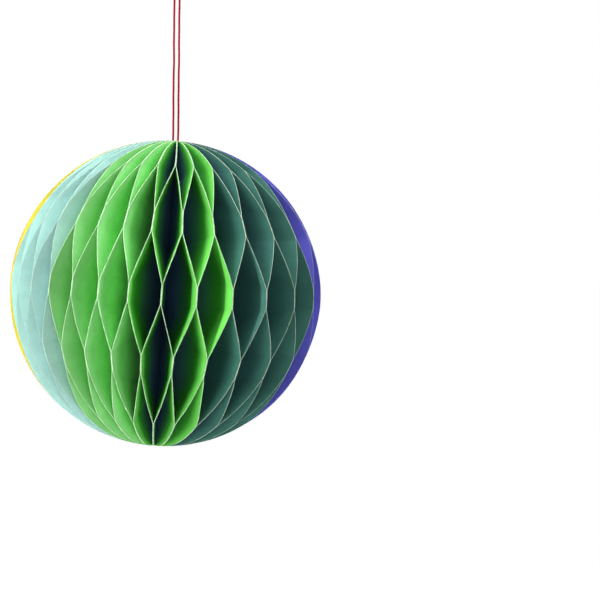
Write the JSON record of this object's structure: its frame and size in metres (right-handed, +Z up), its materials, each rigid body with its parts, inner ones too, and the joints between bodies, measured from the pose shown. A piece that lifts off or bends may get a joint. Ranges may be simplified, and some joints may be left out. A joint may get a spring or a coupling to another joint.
{
  "type": "hanging honeycomb paper ball",
  "caption": "Hanging ball of half-disc paper leaves glued by turns to each neighbour, opening into diamond cells in a ring of colours, on a red cord loop.",
  "frame": {"origin": "centre of the ball", "axes": "+Z up along the hanging cord, -Y to the front, +X to the side that the crown of the ball leans towards"},
  "size_m": [0.1999, 0.1998, 0.3073],
  "materials": {
    "grass_paper": "matt coloured paper with a cream cut edge",
    "teal_paper": "matt coloured paper with a cream cut edge",
    "indigo_paper": "matt coloured paper with a cream cut edge",
    "plum_paper": "matt coloured paper with a cream cut edge",
    "magenta_paper": "matt coloured paper with a cream cut edge",
    "pink_paper": "matt coloured paper with a cream cut edge",
    "vermilion_paper": "matt coloured paper with a cream cut edge",
    "yellow_paper": "matt coloured paper with a cream cut edge",
    "aqua_paper": "matt coloured paper with a cream cut edge",
    "light_green_paper": "matt coloured paper with a cream cut edge",
    "red_cord": "twisted cotton cord"
  },
  "bodies": {
    "root": {"grass_leaves_1": "grass_paper", "grass_leaves_2": "grass_paper", "grass_leaves_3": "grass_paper", "teal_leaves_1": "teal_paper", "teal_leaves_2": "teal_paper", "teal_leaves_3": "teal_paper", "indigo_leaves_1": "indigo_paper", "indigo_leaves_2": "indigo_paper", "indigo_leaves_3": "indigo_paper", "plum_leaves_1": "plum_paper", "plum_leaves_2": "plum_paper", "plum_leaves_3": "plum_paper", "magenta_leaves_1": "magenta_paper", "magenta_leaves_2": "magenta_paper", "magenta_leaves_3": "magenta_paper", "pink_leaves_1": "pink_paper", "pink_leaves_2": "pink_paper", "pink_leaves_3": "pink_paper", "vermilion_leaves_1": "vermilion_paper", "vermilion_leaves_2": "vermilion_paper", "vermilion_leaves_3": "vermilion_paper", "yellow_leaves_1": "yellow_paper", "yellow_leaves_2": "yellow_paper", "yellow_leaves_3": "yellow_paper", "aqua_leaves_1": "aqua_paper", "aqua_leaves_2": "aqua_paper", "aqua_leaves_3": "aqua_paper", "light_green_leaves_1": "light_green_paper", "light_green_leaves_2": "light_green_paper", "light_green_leaves_3": "light_green_paper", "hanging_cord": "red_cord", "cord_knot": "red_cord"}
  },
  "joints": []
}
